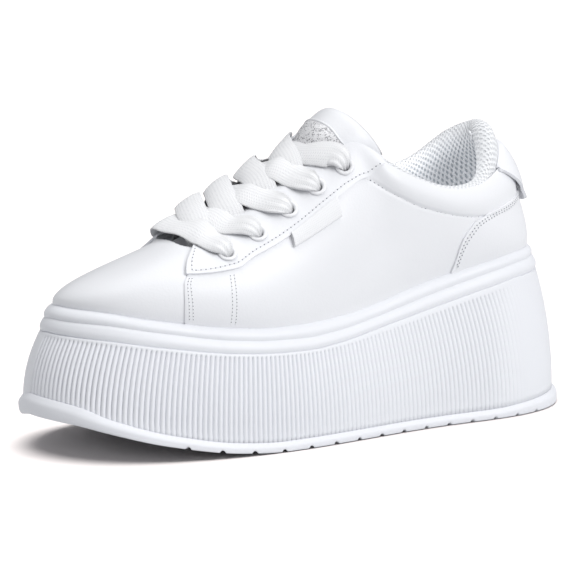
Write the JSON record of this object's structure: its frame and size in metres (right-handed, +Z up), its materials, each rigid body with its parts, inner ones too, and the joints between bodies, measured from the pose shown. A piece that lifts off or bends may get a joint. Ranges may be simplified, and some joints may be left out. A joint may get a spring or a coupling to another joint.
{
  "type": "wedge sneaker",
  "caption": "White smooth leather sneaker on a tall ribbed wedge platform sole, with flat laces through round eyelets, a padded tongue, a mesh lined collar and a folded heel tab.",
  "frame": {"origin": "middle of the bounding box at floor level, under the shank of the sole", "axes": "+Z up, +Y towards the heel, so the toe points to -Y; +X towards the outer (lateral) side of this left shoe"},
  "size_m": [0.1066, 0.2878, 0.1536],
  "materials": {
    "outsole": "white rubber, matt",
    "midsole": "white foam, satin skin with fine upright ribs",
    "insole": "white mesh cloth over foam",
    "upper": "white smooth coated leather, satin",
    "overlay": "white smooth coated leather, satin, stitched",
    "heel_tab": "white smooth coated leather, satin",
    "tongue": "white coated leather over padding, with a silver glitter patch",
    "eyelet": "white enamel, satin",
    "lace": "white flat woven cotton",
    "side_tab": "white woven ribbon, plain"
  },
  "bodies": {
    "root": {"outsole": "outsole", "midsole": "midsole", "insole": "insole", "upper": "upper", "facing_lateral": "overlay", "facing_medial": "overlay", "heel_counter": "overlay", "heel_tab": "heel_tab", "side_tab": "side_tab", "tongue": "tongue", "eyelet_lateral_first": "eyelet", "eyelet_lateral_second": "eyelet", "eyelet_lateral_third": "eyelet", "eyelet_lateral_fourth": "eyelet", "eyelet_lateral_top": "eyelet", "eyelet_medial_first": "eyelet", "eyelet_medial_second": "eyelet", "eyelet_medial_third": "eyelet", "eyelet_medial_fourth": "eyelet", "eyelet_medial_top": "eyelet", "lace_bar": "lace", "lace_cross_second": "lace", "lace_cross_third": "lace", "lace_cross_fourth": "lace", "lace_cross_top": "lace"}
  },
  "joints": []
}
